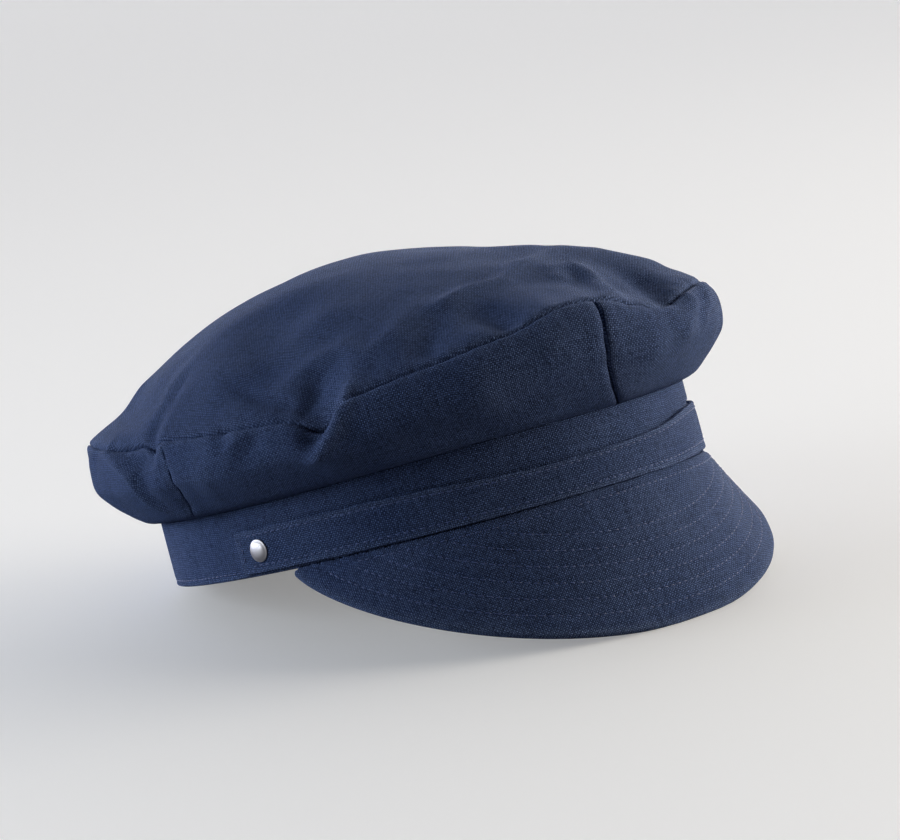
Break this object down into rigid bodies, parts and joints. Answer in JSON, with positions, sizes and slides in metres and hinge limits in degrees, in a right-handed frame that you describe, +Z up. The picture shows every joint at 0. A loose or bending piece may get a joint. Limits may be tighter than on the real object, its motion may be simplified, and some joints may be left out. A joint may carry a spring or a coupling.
{
  "type": "sailor cap",
  "caption": "Soft canvas cap with a wide overhanging crown, an upright band, a strap between two side studs and a stitched curved peak, resting on its band and peak.",
  "frame": {"origin": "middle of the cap's box, on the surface that it rests on", "axes": "+Z up, the peak towards -Y, the wearer's right towards -X"},
  "size_m": [0.208, 0.2488, 0.114],
  "materials": {
    "crown_top": "navy cotton canvas",
    "side_front_right": "navy cotton canvas",
    "side_back_right": "navy cotton canvas",
    "side_back_left": "navy cotton canvas",
    "side_front_left": "navy cotton canvas",
    "band": "navy cotton canvas",
    "strap": "navy cotton canvas",
    "peak": "navy cotton canvas over a stiff board",
    "stud_right": "nickel-plated brass",
    "stud_left": "nickel-plated brass"
  },
  "bodies": {
    "root": {"crown_top": "crown_top", "side_front_right": "side_front_right", "side_back_right": "side_back_right", "side_back_left": "side_back_left", "side_front_left": "side_front_left", "band": "band", "strap": "strap", "peak": "peak", "stud_right": "stud_right", "stud_left": "stud_left"}
  },
  "joints": []
}
